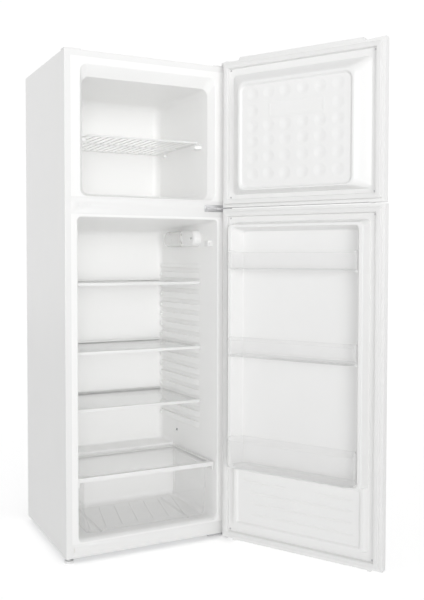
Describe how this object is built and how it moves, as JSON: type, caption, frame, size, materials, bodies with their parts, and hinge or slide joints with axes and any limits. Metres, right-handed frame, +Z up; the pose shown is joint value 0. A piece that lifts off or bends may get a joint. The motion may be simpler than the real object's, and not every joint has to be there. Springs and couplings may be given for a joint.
{
  "type": "top freezer refrigerator",
  "caption": "White top-freezer refrigerator with both doors open: wire freezer shelf, glass shelves, crisper drawer and clear door bins in a foamed steel cabinet.",
  "frame": {"origin": "floor level under the middle of the cabinet's front face", "axes": "+X towards the hinge side, +Y towards the back, +Z up"},
  "size_m": [0.8153, 0.9963, 1.562],
  "materials": {
    "painted_steel": "satin white paint",
    "bare_steel": "plain zinc-coated sheet",
    "white_plastic": "smooth satin white plastic",
    "grey_plastic": "satin grey plastic",
    "black_plastic": "satin black plastic",
    "clear_plastic": "clear polystyrene",
    "shelf_glass": "clear tempered glass",
    "lamp_glass": "clear bulb glass",
    "insulation_foam": "rigid foam inside closed walls",
    "gasket_rubber": "soft matt white seal",
    "black_rubber": "matt black rubber",
    "hinge_metal": "zinc-plated steel",
    "copper_tube": "copper-coated steel tube",
    "aluminium_tube": "plain drawn tube",
    "compressor_paint": "gloss black paint",
    "wire_coating": "white-coated steel wire"
  },
  "bodies": {
    "cabinet": {"outer_wrapper": "painted_steel", "back_panel": "bare_steel", "bottom_rail": "painted_steel", "centre_rail": "painted_steel", "rail_plugs": "white_plastic", "corner_cap": "white_plastic", "cabinet_foam": "insulation_foam", "freezer_liner": "white_plastic", "fridge_liner": "white_plastic", "base_plate": "bare_steel", "evaporator_coil": "aluminium_tube", "condenser_coils": "copper_tube", "compressor": "compressor_paint", "compressor_mounts": "black_rubber", "compressor_bolts": "hinge_metal", "relay_box": "black_plastic", "refrigerant_pipes": "copper_tube", "drain_tube": "grey_plastic", "evaporation_tray": "grey_plastic", "cord_gland": "black_plastic", "wall_spacers": "grey_plastic", "lamp_housing": "white_plastic", "lamp_lens": "clear_plastic", "lamp_bulb": "lamp_glass", "door_switch_body": "white_plastic", "crisper_cover_frame": "white_plastic", "crisper_cover_glass": "shelf_glass", "top_hinge": "hinge_metal", "middle_hinge": "hinge_metal", "bottom_hinge": "hinge_metal", "hinge_screws": "hinge_metal"},
    "front_foot_left": {"front_foot_left": "white_plastic"},
    "front_foot_right": {"front_foot_right": "white_plastic"},
    "rear_roller_left": {"rear_roller_left": "grey_plastic"},
    "rear_roller_right": {"rear_roller_right": "grey_plastic"},
    "thermostat_knob": {"thermostat_knob": "white_plastic"},
    "door_switch_plunger": {"door_switch_plunger": "white_plastic"},
    "wire_shelf": {"wire_shelf": "wire_coating"},
    "shelf_bottom": {"shelf_glass_bottom": "shelf_glass", "shelf_trims_bottom": "white_plastic"},
    "shelf_middle": {"shelf_glass_middle": "shelf_glass", "shelf_trims_middle": "white_plastic"},
    "shelf_top": {"shelf_glass_top": "shelf_glass", "shelf_trims_top": "white_plastic"},
    "crisper_drawer": {"crisper_drawer": "clear_plastic"},
    "freezer_door": {"freezer_door_skin": "painted_steel", "freezer_door_caps": "white_plastic", "freezer_door_liner": "white_plastic", "freezer_door_foam": "insulation_foam", "freezer_door_gasket": "gasket_rubber", "freezer_door_screws": "hinge_metal"},
    "fridge_door": {"fridge_door_skin": "painted_steel", "fridge_door_caps": "white_plastic", "fridge_door_liner": "white_plastic", "fridge_door_foam": "insulation_foam", "fridge_door_gasket": "gasket_rubber", "fridge_door_screws": "hinge_metal"},
    "door_bin_bottom": {"door_bin_bottom": "clear_plastic"},
    "door_bin_middle": {"door_bin_middle": "clear_plastic"},
    "door_bin_top": {"door_bin_top": "clear_plastic"}
  },
  "joints": [
    {"name": "freezer_door_hinge", "type": "hinge", "parent": "cabinet", "child": "freezer_door", "pos_m": [0.2621, -0.0284, 1.32], "axis": [0, 0, 1], "range_deg": [-118.9, 14]},
    {"name": "fridge_door_hinge", "type": "hinge", "parent": "cabinet", "child": "fridge_door", "pos_m": [0.2621, -0.0284, 0.5488], "axis": [0, 0, 1], "range_deg": [-119.7, 14]},
    {"name": "wire_shelf_slide", "type": "slide", "parent": "cabinet", "child": "wire_shelf", "axis": [0, -1, 0], "range_m": [0, 0.2]},
    {"name": "shelf_bottom_slide", "type": "slide", "parent": "cabinet", "child": "shelf_bottom", "axis": [0, -1, 0], "range_m": [0, 0.18]},
    {"name": "shelf_middle_slide", "type": "slide", "parent": "cabinet", "child": "shelf_middle", "axis": [0, -1, 0], "range_m": [0, 0.18]},
    {"name": "shelf_top_slide", "type": "slide", "parent": "cabinet", "child": "shelf_top", "axis": [0, -1, 0], "range_m": [0, 0.18]},
    {"name": "crisper_drawer_slide", "type": "slide", "parent": "cabinet", "child": "crisper_drawer", "axis": [0, -1, 0], "range_m": [0, 0.25]},
    {"name": "door_bin_bottom_lift", "type": "slide", "parent": "fridge_door", "child": "door_bin_bottom", "axis": [0, 0, 1], "range_m": [0, 0.03]},
    {"name": "door_bin_middle_lift", "type": "slide", "parent": "fridge_door", "child": "door_bin_middle", "axis": [0, 0, 1], "range_m": [0, 0.03]},
    {"name": "door_bin_top_lift", "type": "slide", "parent": "fridge_door", "child": "door_bin_top", "axis": [0, 0, 1], "range_m": [0, 0.03]},
    {"name": "thermostat_turn", "type": "hinge", "parent": "cabinet", "child": "thermostat_knob", "pos_m": [0.20997, 0.20312, 0.991], "axis": [-0.0492, 0.9988, 0], "range_deg": [-120, 120]},
    {"name": "door_switch_press", "type": "slide", "parent": "cabinet", "child": "door_switch_plunger", "axis": [0, 1, 0], "range_m": [-0.0008, 0.0061], "stiffness_N_per_m": 100},
    {"name": "front_foot_left_turn", "type": "hinge", "parent": "cabinet", "child": "front_foot_left", "pos_m": [-0.2625, 0.014, 0], "axis": [0, 0, 1], "range_deg": [-360, 360]},
    {"name": "front_foot_right_turn", "type": "hinge", "parent": "cabinet", "child": "front_foot_right", "pos_m": [0.2625, 0.014, 0], "axis": [0, 0, 1], "range_deg": [-360, 360]},
    {"name": "rear_roller_left_spin", "type": "hinge", "parent": "cabinet", "child": "rear_roller_left", "pos_m": [-0.24, 0.427, 0.018], "axis": [1, 0, 0], "continuous": true},
    {"name": "rear_roller_right_spin", "type": "hinge", "parent": "cabinet", "child": "rear_roller_right", "pos_m": [0.24, 0.427, 0.018], "axis": [1, 0, 0], "continuous": true}
  ],
  "couplings": [
    {"joint": "door_switch_press", "follows": "fridge_door_hinge", "m_per_rad": -0.002872}
  ]
}
